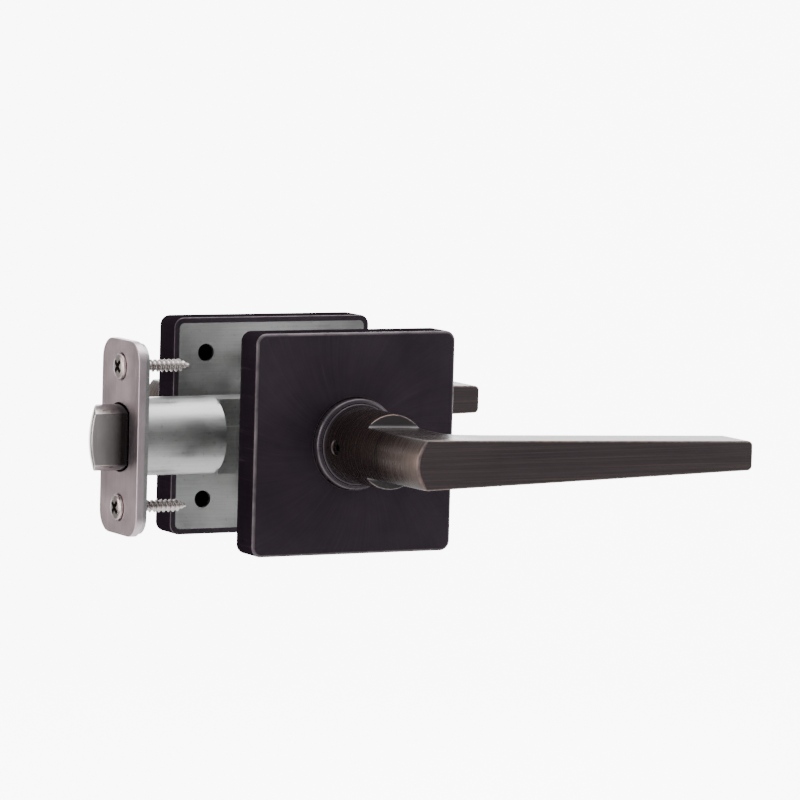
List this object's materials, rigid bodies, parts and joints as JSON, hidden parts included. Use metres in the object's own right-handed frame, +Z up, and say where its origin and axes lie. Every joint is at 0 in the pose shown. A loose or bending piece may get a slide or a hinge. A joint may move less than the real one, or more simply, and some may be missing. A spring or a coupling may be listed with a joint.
{
  "type": "lever handle lockset",
  "caption": "Passage lever lockset: square roses, straight tapered levers on a shared spindle, spring-return hubs and a cam-driven spring latch with bevelled bolt.",
  "frame": {"origin": "where the spindle axis crosses the latch axis, mid-way through the door's thickness", "axes": "-X to the door edge and bolt, +X to the lever tips, -Y to the outside face of the door, +Y to the inside face, +Z up"},
  "size_m": [0.1725, 0.1804, 0.065],
  "materials": {
    "lever_bronze": "dark bronze, brushed along the arm, satin",
    "rose_bronze": "dark bronze, satin",
    "housing_bronze": "dark bronze, satin",
    "faceplate_nickel": "satin nickel",
    "screw_nickel": "bright nickel",
    "bolt_chrome": "polished, slightly satin",
    "spring_steel": "blued spring wire",
    "black_steel": "black oxide",
    "zinc_plated_steel": "bright zinc plate",
    "die_cast_zinc": "as cast, satin",
    "pressed_zinc_steel": "zinc-plated sheet"
  },
  "bodies": {
    "fixed_parts": {"outside_rose": "rose_bronze", "outside_spring_housing": "housing_bronze", "outside_return_spring": "spring_steel", "outside_mounting_plate": "pressed_zinc_steel", "inside_rose": "rose_bronze", "inside_spring_housing": "housing_bronze", "inside_return_spring": "spring_steel", "inside_mounting_plate": "pressed_zinc_steel", "screw_posts": "zinc_plated_steel", "mounting_screws": "zinc_plated_steel", "faceplate": "faceplate_nickel", "faceplate_backing": "pressed_zinc_steel", "faceplate_screws": "screw_nickel", "latch_tube": "pressed_zinc_steel", "spring_seat": "pressed_zinc_steel", "latch_spring": "spring_steel", "latch_case_outer": "pressed_zinc_steel", "latch_case_inner": "pressed_zinc_steel", "case_rivets": "zinc_plated_steel"},
    "outside_lever": {"outside_lever": "lever_bronze", "outside_set_screw": "black_steel", "outside_lever_hub": "die_cast_zinc", "outside_retaining_ring": "spring_steel", "spindle": "zinc_plated_steel"},
    "inside_lever": {"inside_lever": "lever_bronze", "inside_set_screw": "black_steel", "inside_lever_hub": "die_cast_zinc", "inside_retaining_ring": "spring_steel"},
    "latch_hub": {"latch_hub": "die_cast_zinc"},
    "bolt": {"latch_bolt": "bolt_chrome", "bolt_stem": "zinc_plated_steel", "retractor": "zinc_plated_steel"}
  },
  "joints": [
    {"name": "outside_lever_turn", "type": "hinge", "parent": "fixed_parts", "child": "outside_lever", "pos_m": [0, 0, 0], "axis": [0, 1, 0], "range_deg": [0, 60], "stiffness_Nm_per_rad": 1.2, "springref_deg": -34.38, "deforming": ["outside_return_spring"]},
    {"name": "inside_lever_turn", "type": "hinge", "parent": "fixed_parts", "child": "inside_lever", "pos_m": [0, 0, 0], "axis": [0, 1, 0], "range_deg": [0, 60], "deforming": ["inside_return_spring"]},
    {"name": "latch_hub_turn", "type": "hinge", "parent": "fixed_parts", "child": "latch_hub", "pos_m": [0, 0, 0], "axis": [0, 1, 0], "range_deg": [0, 60]},
    {"name": "bolt_slide", "type": "slide", "parent": "fixed_parts", "child": "bolt", "axis": [1, 0, 0], "range_m": [0, 0.0116], "deforming": ["latch_spring"]}
  ],
  "couplings": [
    {"joint": "inside_lever_turn", "follows": "outside_lever_turn", "ratio": 1},
    {"joint": "latch_hub_turn", "follows": "outside_lever_turn", "ratio": 1},
    {"joint": "bolt_slide", "follows": "outside_lever_turn", "m_per_rad": 0.011077}
  ]
}
